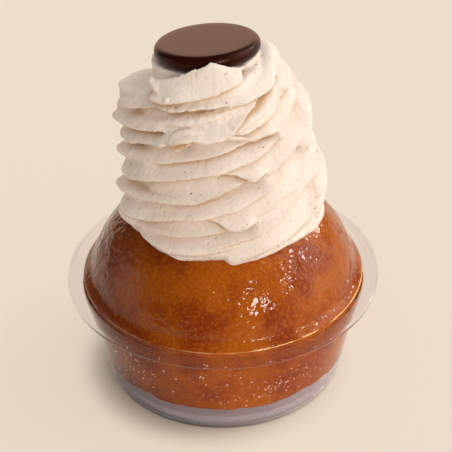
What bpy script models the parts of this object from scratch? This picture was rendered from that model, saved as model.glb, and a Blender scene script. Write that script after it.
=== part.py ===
"""Rum baba: a syrup-soaked bun in its clear cup, a piped swirl of cream and a chocolate disc.

Frame: the origin is on the cup's axis at the level that the foot stands on. +Z is up and
-Y is the front. Sizes are named in millimetres and degrees, and MM turns them into metres.
"""
import math

import bmesh
import bpy
from mathutils import Euler, Matrix, Vector, noise

MM = 0.001
GAP = 0.35                  # clear space kept between pieces that touch

# Clear cup
CUP_FOOT_RADIUS = 36.5      # outside of the wall where it meets the foot
CUP_MOUTH_RADIUS = 42.15    # inside of the wall just under the rim
CUP_WALL = 0.6
CUP_RIM_HEIGHT = 33.2       # top of the flat rim
RIM_RADIUS = 47.5
RIM_LIP = 1.2               # how far the outer edge of the rim turns down
RIM_BEAD = 0.35             # raised ring round the mouth
FOOT_RING_WIDTH = 2.3       # flat ring that the cup stands on
CUP_FLOOR = 5.9             # top of the raised floor
FLOOR_RADIUS = 31.6

# Bun
BUN_RADIUS = 41.0
BUN_WIDEST = 29.2           # height where the dome starts
BUN_DOME = 32.7             # height of the dome over that
BUN_DOME_SIDE = 2.58        # how full the dome is at its side
BUN_DOME_TOP = 1.94         # how full it is at its top
BUN_FOOT_RADIUS = 33.2
BUN_SHIFT = 0.3             # the dome sits a little to the right
BUN_UNEVEN = 0.35           # depth of the slow dips in the dome

# Cream
CREAM_LEVEL = 55.0          # where the pile of turns starts
CREAM_RISE = 55.0           # from there to where it would close
CREAM_RADIUS = 31.3
CREAM_TURNS = (-0.26, 5.17)  # turn count at the first and the last end of the rope
# Height of the rope's middle, one value for each quarter turn
QUARTER_LEVELS = (50.6, 52.6, 55.5, 60.4, 66.0, 65.2, 64.9, 70.9, 75.7, 76.8, 78.0, 83.7,
                  86.6, 87.4, 89.1, 92.6, 96.4, 98.5, 99.4, 98.9, 101.4, 104.6)
# How far the hand strays outwards, one value for each quarter turn
QUARTER_REACH = (0.0, 0.0, 0.2, -0.8, 0.5, 0.2, -0.2, -0.1, -2.0, -1.2, -1.2, 0.1,
                 -0.5, -0.3, 0.4, 1.2, -1.2, -1.5, 0.0, 0.0, -4.2, -5.0)
START_RISE = 12.0           # the rope's first end dips down onto the turn's own level
START_INWARDS = 6.0
# Outer edge of the lowest petals on the bun: share of a turn, and distance from the axis
FOOT_EDGE = ((0.0, 30.4), (0.40, 31.0), (0.478, 31.6), (0.535, 28.3), (0.58, 26.2), (0.60, 27.0),
             (0.67, 28.5), (0.72, 26.9), (0.750, 26.4), (0.760, 28.6), (0.793, 27.8), (0.827, 27.2),
             (0.863, 26.6), (0.913, 28.2), (0.937, 28.8), (0.964, 29.3), (1.0, 30.4))
FOOT_LEVEL = 54.3
FOOT_FREE_LEVEL = 58.0
ROPE_HALF_WIDTH = 10.6
ROPE_HALF_HEIGHT = 8.4
ROPE_TAPER_TURN = 3.6       # from here the rope gets thinner
ROPE_END_SHARE = 0.5        # its size at the end, as a share of the full one
ROPE_START_SHARE = 0.35
FIRST_LEAF = 0.53           # turn counts where single petals stand out on the left
THIRD_LEAF = 3.5
LAST_LEAF = 4.48
CREAM_LEAN = (0.5, -4.7)    # sideways place of the axis at the bottom, and its move by the top
CREAM_LEAN_BACK = 1.2
RIDGES = 7                  # points of the star nozzle
RIDGE_DEPTH = 0.34          # depth of a groove, as a share of the rope's half width
CREST_ROUNDING = 0.1
CREST_FLATNESS = 1.3        # more makes broad petals with narrow grooves
GROOVE_PLACE = 0.56         # share of a ridge from its crest down to the groove under it
LOWER_SIDE_LEFT = 0.56      # share of a ridge that faces down, on the left and in front
LOWER_SIDE_FRONT = 0.36
CREST_START = -34.1         # where a crest stands after one and a half turns
CREST_SWAY = (-17.0, -18.2, 14.3, 7.1)   # how the wrist sways once and twice a turn
# Further roll of the wrist, one value for each half turn
HALF_TURN_ROLL = (3.0, 3.5, 0.7, 8.1, 8.9, 3.4, 1.8, 3.8, -9.0, -8.0, -30.0, -33.0)
TUCK = 0.5                  # how far each turn is tucked in over the big petal under it
TUCK_PLACE = -1.5
FLAP_THICKNESS = 3.0        # petal that leans on the front of the disc
FLAP_EDGE = ((-19.0, -11.9, 107.9), (-17.9, -12.4, 107.4), (-17.1, -13.9, 107.8),
             (-12.7, -16.0, 109.3), (-8.1, -17.2, 111.6), (-4.4, -17.6, 113.3),
             (-1.2, -17.3, 114.2), (2.8, -16.6, 112.4), (6.0, -14.9, 111.4))
FLAP_FOOT = ((-18.8, -13.7, 106.0), (-16.9, -17.0, 105.4), (-14.4, -18.5, 104.0),
             (-11.3, -20.6, 105.0), (-6.7, -20.7, 105.6), (-1.8, -20.4, 106.5),
             (2.5, -19.2, 108.5), (5.6, -17.4, 110.0), (6.4, -15.8, 111.0))
CREAM_GRAIN = 0.75          # mesh size of the fused swirl
CREAM_KEPT = 0.083          # share of the fine triangles that is kept

# Chocolate disc
DISC_RADIUS = 15.0
DISC_THICKNESS = 4.4
DISC_FACE_RADIUS = 13.2     # where the face rounds over into the rim
DISC_UNDER = (-2.8, -0.9, 107.65)   # centre of its underside
DISC_TILT_BACK = 8.0
DISC_TILT_SIDE = 3.6

TURNED_STEPS = 56
DISC_STEPS = 40


def make_material(name, colour, roughness, transmission=0.0):
    """A Principled material of one colour."""
    material = bpy.data.materials.new(name)
    material.use_nodes = True
    shader = material.node_tree.nodes["Principled BSDF"]
    shader.inputs["Base Color"].default_value = (*colour, 1.0)
    shader.inputs["Roughness"].default_value = roughness
    shader.inputs["Metallic"].default_value = 0.0
    shader.inputs["Transmission Weight"].default_value = transmission
    material.diffuse_color = (*colour, 1.0)
    return material


def make_object(name, mesh_in_progress, material=None):
    """Turn a bmesh into a smooth-shaded object."""
    mesh = bpy.data.meshes.new(name)
    mesh_in_progress.to_mesh(mesh)
    mesh_in_progress.free()
    if material:
        mesh.materials.append(material)
    mesh.shade_smooth()
    thing = bpy.data.objects.new(name, mesh)
    bpy.context.scene.collection.objects.link(thing)
    return thing


def turned(profile, steps):
    """Spin a profile of (radius, height) points round the upright axis."""
    shape = bmesh.new()
    corners = [shape.verts.new((radius * MM, 0.0, height * MM)) for radius, height in profile]
    sides = [shape.edges.new(pair) for pair in zip(corners, corners[1:])]
    bmesh.ops.spin(shape, geom=corners + sides, cent=(0, 0, 0), axis=(0, 0, 1),
                   angle=2 * math.pi, steps=steps, use_merge=True)
    bmesh.ops.remove_doubles(shape, verts=shape.verts, dist=0.000001)
    bmesh.ops.recalc_face_normals(shape, faces=shape.faces)
    return shape


def apply_modifiers(thing):
    """Keep the shape that an object's modifiers make, and drop the modifiers."""
    graph = bpy.context.evaluated_depsgraph_get()
    result = bpy.data.meshes.new_from_object(thing.evaluated_get(graph))
    thing.modifiers.clear()
    thing.data = result


def cut_away(thing, cutter):
    """Take the cutter's space out of an object, and remove the cutter."""
    cutter.hide_render = True
    cutter.display_type = "WIRE"
    boolean = thing.modifiers.new("cut", "BOOLEAN")
    boolean.operation = "DIFFERENCE"
    boolean.solver = "EXACT"
    boolean.object = cutter
    apply_modifiers(thing)
    bpy.data.objects.remove(cutter)


# ---------------------------------------------------------------- cup

def cup_inner_radius(height):
    """Inside radius of the leaning wall at a height."""
    foot = CUP_FOOT_RADIUS - CUP_WALL
    return foot + (CUP_MOUTH_RADIUS - foot) * height / (CUP_RIM_HEIGHT - 1.0)


def cup_profile():
    """Outside from the middle of the floor out to the rim, then the inside back again."""
    ring_out = CUP_FOOT_RADIUS - 0.3
    ring_in = ring_out - FOOT_RING_WIDTH
    under_floor = CUP_FLOOR - CUP_WALL
    under_rim = CUP_RIM_HEIGHT - CUP_WALL
    mouth = CUP_MOUTH_RADIUS
    outside = [(0.0, under_floor), (FLOOR_RADIUS - 0.4, under_floor),
               (FLOOR_RADIUS + 0.8, under_floor - 0.6), (ring_in - 0.3, 0.4),
               (ring_in, 0.0), (ring_out, 0.0), (CUP_FOOT_RADIUS, 0.4),
               (mouth + CUP_WALL, under_rim - 0.5), (mouth + CUP_WALL + 0.4, under_rim),
               (RIM_RADIUS - 0.8, under_rim), (RIM_RADIUS - 0.6, CUP_RIM_HEIGHT - RIM_LIP)]
    inside = [(RIM_RADIUS, CUP_RIM_HEIGHT - RIM_LIP), (RIM_RADIUS, CUP_RIM_HEIGHT - 0.3),
              (RIM_RADIUS - 0.3, CUP_RIM_HEIGHT), (mouth + 1.3, CUP_RIM_HEIGHT),
              (mouth + 0.9, CUP_RIM_HEIGHT + RIM_BEAD), (mouth + 0.4, CUP_RIM_HEIGHT + RIM_BEAD),
              (mouth, CUP_RIM_HEIGHT - 0.4), (cup_inner_radius(1.0), 1.0),
              (cup_inner_radius(0.7) - 0.3, 0.6), (ring_in + 0.6, 0.6), (ring_in + 0.3, 0.9),
              (FLOOR_RADIUS + 1.3, CUP_FLOOR - 0.5), (FLOOR_RADIUS, CUP_FLOOR),
              (0.0, CUP_FLOOR)]
    return outside + inside


def build_cup():
    material = make_material("clear_plastic", (0.86, 0.84, 0.84), 0.08, 0.9)
    return make_object("plastic_cup", turned(cup_profile(), TURNED_STEPS), material)


# ---------------------------------------------------------------- bun

def bun_profile(side_rings=5, dome_rings=15):
    """Flat underside, sides that follow the cup, then the dome."""
    bottom = CUP_FLOOR + GAP
    profile = [(0.0, bottom), (BUN_FOOT_RADIUS * 0.5, bottom), (BUN_FOOT_RADIUS, bottom),
               (BUN_FOOT_RADIUS + 2.4, bottom + 1.2)]
    low, high = bottom + 3.4, BUN_WIDEST - 4.0
    for ring in range(side_rings):
        height = low + (high - low) * ring / (side_rings - 1)
        profile.append((cup_inner_radius(height) - GAP, height))
    for ring in range(dome_rings + 1):
        angle = 0.5 * math.pi * ring / dome_rings
        radius = BUN_RADIUS * max(math.cos(angle), 0.0) ** (2 / BUN_DOME_SIDE)
        height = BUN_WIDEST + BUN_DOME * math.sin(angle) ** (2 / BUN_DOME_TOP)
        profile.append((radius, height))
    return profile


def bun_shape(swell=0.0):
    """The bun with its slow dips, grown outwards by swell."""
    shape = turned(bun_profile(), TURNED_STEPS)
    for vertex in shape.verts:
        place = vertex.co / MM
        rise = min(max((place.z - CUP_RIM_HEIGHT + 12.0) / 20.0, 0.0), 1.0)
        dip = 0.5 + 0.5 * noise.noise(place * 0.07)
        crown = Vector((place.x, place.y, (place.z - BUN_WIDEST) * 1.2))
        place -= crown.normalized() * BUN_UNEVEN * dip * rise
        place.x += BUN_SHIFT * rise
        vertex.co = place * MM
    if swell:
        shape.normal_update()
        directions = [vertex.normal.copy() for vertex in shape.verts]
        for vertex, direction in zip(shape.verts, directions):
            vertex.co += direction * swell * MM
    return shape


def build_bun():
    return make_object("baba", bun_shape(), make_material("soaked_bun", (0.30, 0.075, 0.008), 0.3))


# ---------------------------------------------------------------- cream

def climb_share(level):
    """0 at the foot of the swirl, 1 where it would close."""
    return min(max((level - CREAM_LEVEL) / CREAM_RISE, 0.0), 0.985)


def swirl_reach(level):
    """Outer radius of the swirl at a height."""
    return CREAM_RADIUS * (1 - climb_share(level) ** 3.4) ** 0.42


def swirl_middle(level):
    """Sideways place of the leaning axis at a height."""
    share = climb_share(level)
    return Vector((CREAM_LEAN[0] + CREAM_LEAN[1] * share ** 1.5, CREAM_LEAN_BACK * share ** 2, 0))


def near(turn, middle, spread):
    """1 at one place along the rope, fading to 0 on both sides of it."""
    return math.exp(-((turn - middle) / spread) ** 2)


def step_value(values, turn, steps_a_turn=4.0):
    """A smooth line through values that are given once a quarter turn."""
    place = min(max(steps_a_turn * turn, 0.0), len(values) - 1.001)
    step = int(place)
    t = place - step
    before, here = values[max(step - 1, 0)], values[step]
    after, last = values[step + 1], values[min(step + 2, len(values) - 1)]
    bend = (after - before + t * (2 * before - 5 * here + 4 * after - last
                                  + t * (3 * (here - after) + last - before)))
    return here + 0.5 * t * bend


def foot_reach(turn, level):
    """How far out the lowest petals may stand, where they end on the bun."""
    place = turn % 1.0
    for (start, near_reach), (end, far_reach) in zip(FOOT_EDGE, FOOT_EDGE[1:]):
        if start <= place <= end:
            reach = near_reach + (far_reach - near_reach) * (place - start) / (end - start)
    spread = 0.8 * min(max(level - FOOT_LEVEL, 0.0), FOOT_FREE_LEVEL - FOOT_LEVEL)
    return reach + spread + 3.0 * max(level - FOOT_FREE_LEVEL, 0.0)


def rope_level(turn):
    return step_value(QUARTER_LEVELS, turn) + START_RISE * max(-turn, 0.0)


def rope_size(turn):
    """Share of the full section: thin where piping starts, and tapering at the top."""
    start, end = CREAM_TURNS
    late = max(turn - ROPE_TAPER_TURN, 0.0) / (end - ROPE_TAPER_TURN)
    early = min((turn - start) / 0.4, 1.0)
    return (1 - (1 - ROPE_END_SHARE) * late ** 2) * (1 - (1 - ROPE_START_SHARE) * (1 - early) ** 2)


def crest_angle(turn):
    """Angle of one crest in the rope's section, in degrees. Level outwards is 0, up is 90."""
    around = 2 * math.pi * turn
    sway = (CREST_SWAY[0] * math.cos(around) + CREST_SWAY[1] * math.sin(around)
            + CREST_SWAY[2] * math.cos(2 * around) + CREST_SWAY[3] * math.sin(2 * around))
    return CREST_START + 360.0 * (turn - 1.5) + sway + step_value(HALF_TURN_ROLL, turn, 2.0)


def ridge_height(spacings, lower_side):
    """1 on a crest and 0 in a crease, from the distance to a crest in ridge spacings."""
    above = (spacings + GROOVE_PLACE) % 1.0
    if above < lower_side:
        depth = 1.0 - above / lower_side
    else:
        depth = (above - lower_side) / (1.0 - lower_side)
    soft = math.hypot(depth, CREST_ROUNDING) - CREST_ROUNDING
    return 1.0 - (soft / (math.hypot(1.0, CREST_ROUNDING) - CREST_ROUNDING)) ** CREST_FLATNESS


def squeeze(turn, upper):
    """How pointed the section is: 1 is round, more pulls it in above or below its middle."""
    around = 2 * math.pi * turn
    third, last = near(turn, THIRD_LEAF, 0.18), near(turn, LAST_LEAF, 0.13)
    flat = near(turn, LAST_LEAF, 0.3) if turn < LAST_LEAF else last
    if upper:
        high = max(0.94 + 0.35 * math.cos(around - 2.95), 0.7) - 0.6 * near(turn % 1.0, 0.63, 0.09)
        return high + 0.9 * third + 2.4 * flat
    low = min(max(0.92 + 1.73 * math.cos(around - 0.5 * math.pi), 0.45), 2.6)
    return low + 3.0 * near(turn, FIRST_LEAF, 0.07) + 0.7 * third + 0.3 * last


def sag(turn):
    """How much longer the section hangs where the turn below lies far under it."""
    if turn < 1.0:
        return 1.0
    gap = rope_level(turn) - rope_level(turn - 1.0)
    return 0.96 + 0.5 * min(max((gap - 11.0) / ROPE_HALF_HEIGHT, -0.5), 0.6)


def rope_point(turn, angle):
    """A point on the ridged rope: turn counts along it, and angle goes round its section."""
    around = 2 * math.pi * turn
    place_in_turn = turn % 1.0
    outward = Vector((math.cos(around), math.sin(around), 0))
    level = rope_level(turn)
    size = rope_size(turn)
    half_width, half_height = ROPE_HALF_WIDTH * size, ROPE_HALF_HEIGHT * size
    upper = math.sin(angle) > 0
    last = near(turn, LAST_LEAF, 0.13)
    flat = near(turn, LAST_LEAF, 0.3) if turn < LAST_LEAF else last
    reach = max(swirl_reach(level) - half_width, 0.0) + step_value(QUARTER_REACH, turn)
    reach -= START_INWARDS * max(-turn, 0.0)
    half_height *= 1 - 0.8 * flat if upper else sag(turn) * (1 - 0.15 * last)
    reach += 0.4 * noise.noise(Vector((turn * 2.3, 3.1, 0.0)))
    level += 0.3 * noise.noise(Vector((turn * 2.9, 9.4, 5.0)))
    spacings = RIDGES * (math.degrees(angle) - crest_angle(turn)) / 360.0
    ridge = round(spacings) % RIDGES
    left = max(math.cos(around - 2 * math.pi * 0.47), 0.0) ** 1.5
    leafy = 0.5 + 0.6 * left
    lower_side = LOWER_SIDE_FRONT + (LOWER_SIDE_LEFT - LOWER_SIDE_FRONT) * left
    depth = RIDGE_DEPTH * leafy * (1 + 0.3 * noise.noise(Vector((ridge * 7.3, turn * 1.1, 2.0))))
    full = 1 - depth * (1 - ridge_height(spacings, lower_side))
    full += 0.012 * noise.noise(Vector((ridge * 5.1, turn * 9.0, 7.0)))
    if not upper:
        full += 0.6 * last * (1 - full) * min(-4 * math.sin(angle), 1.0)
    above = (spacings + 0.5 * RIDGES) % RIDGES - 0.5 * RIDGES
    full += 0.9 * flat * (1 - full) * min(max(4 * (above - 0.2), 0.0), 1.0)
    tucked = min(max((TUCK_PLACE - above) / 0.35, 0.0), 1.0) * (turn > 1.0)
    tucked *= min(max((place_in_turn - 0.30) / 0.1, 0.0), 1.0)
    full *= 1 - TUCK * tucked * min(max((0.76 - place_in_turn) / 0.09, 0.0), 1.0)
    outwards = math.cos(angle)
    if outwards > 0:
        outwards **= squeeze(turn, upper)
    radius = reach + half_width * full * outwards
    height = level + half_height * full * math.sin(angle)
    if height < FOOT_FREE_LEVEL + 3.0:
        radius = min(radius, foot_reach(turn, height))
    place = swirl_middle(level) + outward * radius
    place.z = height
    share = climb_share(level)
    place.z += share * (place.x * math.tan(math.radians(DISC_TILT_SIDE))
                        - place.y * math.tan(math.radians(DISC_TILT_BACK)))
    return place * MM


def rope_shape(steps_per_turn=80, steps_round=112):
    """A flat grid rolled into the star rope along its rising spiral."""
    start, end = CREAM_TURNS
    shape = bmesh.new()
    bmesh.ops.create_grid(shape, x_segments=int((end - start) * steps_per_turn),
                          y_segments=steps_round, size=0.5)
    for vertex in shape.verts:
        turn = start + (end - start) * (vertex.co.x + 0.5)
        vertex.co = rope_point(turn, 2 * math.pi * (vertex.co.y + 0.5))
    bmesh.ops.remove_doubles(shape, verts=shape.verts, dist=0.000001)
    open_ends = [edge for edge in shape.edges if edge.is_boundary]
    bmesh.ops.holes_fill(shape, edges=open_ends, sides=0)
    bmesh.ops.recalc_face_normals(shape, faces=shape.faces)
    return shape


def core_shape(steps=48):
    """What fills the middle of the spiral, so that no hollow is left in it."""
    low = BUN_WIDEST + BUN_DOME - 14.0
    high = DISC_UNDER[2] - 0.5
    rings = 16
    profile = [(0.0, low)]
    for ring in range(rings + 1):
        level = low + (high - low) * ring / rings
        top = 15.0 * min(max((level - 96.0) / 5.0, 0.0), 1.0)
        profile.append((max(swirl_reach(level) - 0.9 * ROPE_HALF_WIDTH, 9.0, top), level))
    profile.append((0.0, high))
    shape = turned(profile, steps)
    for vertex in shape.verts:
        place = vertex.co / MM
        share = climb_share(place.z)
        place += swirl_middle(place.z)
        place.z += share * (place.x * math.tan(math.radians(DISC_TILT_SIDE))
                            - place.y * math.tan(math.radians(DISC_TILT_BACK)))
        vertex.co = place * MM
    return shape


def smooth_line(points, share):
    """A point on the smooth line through a few points, from share 0 to share 1."""
    place = min(max(share, 0.0), 1.0) * (len(points) - 1)
    step = min(int(place), len(points) - 2)
    t = place - step
    before, here = Vector(points[max(step - 1, 0)]), Vector(points[step])
    after, last = Vector(points[step + 1]), Vector(points[min(step + 2, len(points) - 1)])
    bend = (after - before + t * (2 * before - 5 * here + 4 * after - last
                                  + t * (3 * (here - after) + last - before)))
    return here + 0.5 * t * bend


def flap_shape(steps=60, steps_round=30):
    """A petal that leans on the front of the disc: thick at its foot and thin at its edge."""
    shape = bmesh.new()
    bmesh.ops.create_grid(shape, x_segments=steps, y_segments=steps_round, size=0.5)
    for vertex in shape.verts:
        share = vertex.co.x + 0.5
        angle = 2 * math.pi * (vertex.co.y + 0.5)
        edge, foot = smooth_line(FLAP_EDGE, share), smooth_line(FLAP_FOOT, share)
        low = foot + (foot - edge) * 0.35
        inward = swirl_middle(105.0) + Vector((0, 0, 100.0)) - foot
        inward = (inward - (edge - foot) * inward.dot(edge - foot) / (edge - foot).length_squared)
        inward.normalize()
        rise = 0.5 - 0.5 * math.cos(angle)
        thick = FLAP_THICKNESS * (1 - rise) ** 0.8 + 0.7
        bulge = math.sin(angle)
        place = low + (edge - low) * rise + inward * thick * 0.5 * (1 - bulge)
        place -= inward * 0.5 * math.sin(math.pi * rise) * max(bulge, 0.0)
        vertex.co = place * MM
    bmesh.ops.remove_doubles(shape, verts=shape.verts, dist=0.000001)
    open_ends = [edge for edge in shape.edges if edge.is_boundary]
    bmesh.ops.holes_fill(shape, edges=open_ends, sides=0)
    bmesh.ops.recalc_face_normals(shape, faces=shape.faces)
    return shape


def build_cream():
    material = make_material("vanilla_cream", (0.86, 0.76, 0.64), 0.55)
    shape = rope_shape()
    core, flap = make_object("core", core_shape()), make_object("flap", flap_shape())
    for extra in (core, flap):
        shape.from_mesh(extra.data)
        bpy.data.objects.remove(extra)
    cream = make_object("cream_swirl", shape, material)
    fuse = cream.modifiers.new("fuse", "REMESH")
    fuse.mode = "VOXEL"
    fuse.voxel_size = CREAM_GRAIN * MM
    fuse.use_smooth_shade = True
    fewer = cream.modifiers.new("fewer", "DECIMATE")
    fewer.ratio = CREAM_KEPT
    apply_modifiers(cream)
    cut_away(cream, make_object("bun_space", bun_shape(GAP)))
    cut_away(cream, place_disc(make_object("disc_space", disc_seat_shape())))
    cream.data.materials.clear()
    cream.data.materials.append(material)
    return cream


# ---------------------------------------------------------------- disc

def disc_profile():
    half = DISC_THICKNESS / 2
    bulge = DISC_RADIUS - DISC_FACE_RADIUS
    profile = [(0.0, 0.0)]
    for step in range(7):
        angle = math.radians(-90 + 30 * step)
        profile.append((DISC_FACE_RADIUS + bulge * math.cos(angle), half + half * math.sin(angle)))
    return profile + [(0.0, DISC_THICKNESS)]


def disc_seat_shape():
    """The disc's underside and edge moved out by the gap, and open space above it."""
    half = DISC_THICKNESS / 2
    profile = [(0.0, -GAP), (DISC_FACE_RADIUS, -GAP)]
    bulge = DISC_RADIUS - DISC_FACE_RADIUS + GAP
    for step in range(1, 4):
        angle = math.radians(-90 + 30 * step)
        profile.append((DISC_FACE_RADIUS + bulge * math.cos(angle),
                        half + (half + GAP) * math.sin(angle)))
    profile += [(DISC_RADIUS + GAP, 3 * DISC_THICKNESS), (0.0, 3 * DISC_THICKNESS)]
    return turned(profile, DISC_STEPS)


def place_disc(thing):
    """Move a shape made at the origin to where the disc lies, tilted back and to one side."""
    tilt = Euler((math.radians(-DISC_TILT_BACK), math.radians(-DISC_TILT_SIDE), 0)).to_matrix()
    thing.matrix_world = Matrix.Translation(Vector(DISC_UNDER) * MM) @ tilt.to_4x4()
    return thing


def build_disc():
    material = make_material("dark_chocolate", (0.06, 0.02, 0.012), 0.35)
    return place_disc(make_object("chocolate_disc", turned(disc_profile(), DISC_STEPS), material))


def main():
    for thing in list(bpy.data.objects):
        bpy.data.objects.remove(thing)
    build_cup()
    build_bun()
    build_cream()
    build_disc()


main()
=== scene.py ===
# %% [markdown]
# # A rum baba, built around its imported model
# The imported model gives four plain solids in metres: a clear cup, a bun, a swirl of cream and a
# disc of chocolate. Each one sits where the real thing sits. This lesson keeps those places and
# makes a finer piece for each, then gives every surface its finish, its light and a camera.

import math
import random

import bmesh
import bpy
import numpy
from mathutils import Euler, Matrix, Vector, noise


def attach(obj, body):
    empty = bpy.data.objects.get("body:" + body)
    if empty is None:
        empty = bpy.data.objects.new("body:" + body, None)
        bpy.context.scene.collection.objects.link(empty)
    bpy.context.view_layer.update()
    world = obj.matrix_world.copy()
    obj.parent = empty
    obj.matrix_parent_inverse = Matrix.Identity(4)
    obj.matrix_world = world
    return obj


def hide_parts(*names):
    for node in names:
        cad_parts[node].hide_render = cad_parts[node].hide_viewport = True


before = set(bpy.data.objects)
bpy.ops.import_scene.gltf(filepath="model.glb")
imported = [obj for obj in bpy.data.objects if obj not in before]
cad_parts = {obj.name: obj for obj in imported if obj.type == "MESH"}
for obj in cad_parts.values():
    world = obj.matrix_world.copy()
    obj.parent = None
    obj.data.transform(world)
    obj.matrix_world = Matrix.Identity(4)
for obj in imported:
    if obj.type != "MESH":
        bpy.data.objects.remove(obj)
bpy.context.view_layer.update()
MM = 0.001
print("CAD nodes:", sorted(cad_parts))

# %% [markdown]
# ## The camera first
# A camera is worth placing before anything else, because it says how much detail each part needs.
# The picture is taken from the front, about 35 degrees above the table, from half a metre away.
# The lens is long, so upright sides stay almost parallel. The view also leans by about a degree.

# %% Camera
PICTURE_WIDTH = 452
FOCAL_PIXELS = 1600.0        # how strongly the lens magnifies, in picture widths of one pixel
CAMERA_DISTANCE = 481.33
CAMERA_HEIGHT_ANGLE = math.radians(34.75)
CAMERA_LEAN = math.radians(-1.25)
LOOK_AT = Vector((1.21, 0.0, 48.5))


def add_camera():
    """A camera built from its own three directions: right, up and backwards."""
    backwards = Vector((0.0, -math.cos(CAMERA_HEIGHT_ANGLE), math.sin(CAMERA_HEIGHT_ANGLE)))
    level_right = Vector((1.0, 0.0, 0.0))
    level_up = backwards.cross(level_right)
    right = math.cos(CAMERA_LEAN) * level_right + math.sin(CAMERA_LEAN) * level_up
    up = backwards.cross(right)
    settings = bpy.data.cameras.new("camera")
    settings.sensor_width = 36.0
    settings.lens = settings.sensor_width * FOCAL_PIXELS / PICTURE_WIDTH
    settings.clip_start, settings.clip_end = 0.01, 10.0
    camera = bpy.data.objects.new("camera", settings)
    place = Matrix((right, up, backwards)).transposed().to_4x4()
    place.translation = (LOOK_AT + backwards * CAMERA_DISTANCE) * MM
    camera.matrix_world = place
    bpy.context.scene.collection.objects.link(camera)
    bpy.context.scene.camera = camera
    return camera


camera = add_camera()
print("camera lens in mm:", round(camera.data.lens, 1))

# %% [markdown]
# ## Helpers for meshes
# Every piece is first a bmesh, Blender's workbench for meshes. These helpers turn one into an
# object, spin an outline round the upright axis, and keep what a modifier makes.

# %% Mesh helpers
def make_piece(name, shape, material=None):
    """Turn a bmesh into a smooth-shaded object at the origin."""
    mesh = bpy.data.meshes.new(name)
    shape.to_mesh(mesh)
    shape.free()
    if material:
        mesh.materials.append(material)
    mesh.shade_smooth()
    piece = bpy.data.objects.new(name, mesh)
    bpy.context.scene.collection.objects.link(piece)
    return piece


def turned(outline, steps):
    """Spin an outline of (radius, height) points in millimetres once round the upright axis."""
    shape = bmesh.new()
    corners = [shape.verts.new((radius * MM, 0.0, height * MM)) for radius, height in outline]
    sides = [shape.edges.new(pair) for pair in zip(corners, corners[1:])]
    bmesh.ops.spin(shape, geom=corners + sides, cent=(0, 0, 0), axis=(0, 0, 1),
                   angle=2 * math.pi, steps=steps, use_merge=True)
    bmesh.ops.remove_doubles(shape, verts=shape.verts, dist=0.0000005)
    bmesh.ops.recalc_face_normals(shape, faces=shape.faces)
    return shape


def keep_modifiers(piece):
    """Make the shape that a piece's modifiers show its real mesh."""
    graph = bpy.context.evaluated_depsgraph_get()
    result = bpy.data.meshes.new_from_object(piece.evaluated_get(graph))
    piece.modifiers.clear()
    piece.data = result
    return piece


def cut_away(piece, cutter, operation="DIFFERENCE"):
    """Take the cutter's space out of a piece, or with UNION add it, and remove the cutter."""
    boolean = piece.modifiers.new("cut", "BOOLEAN")
    boolean.operation = operation
    boolean.solver = "MANIFOLD"
    boolean.object = cutter
    keep_modifiers(piece)
    bpy.data.objects.remove(cutter)


def triangles(piece):
    return sum(len(face.vertices) - 2 for face in piece.data.polygons)


# %% [markdown]
# ## Helpers for materials
# A material is a small network of nodes. The helpers below add a node, link it and set its
# values, so that each finish further down reads like a recipe.

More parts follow.
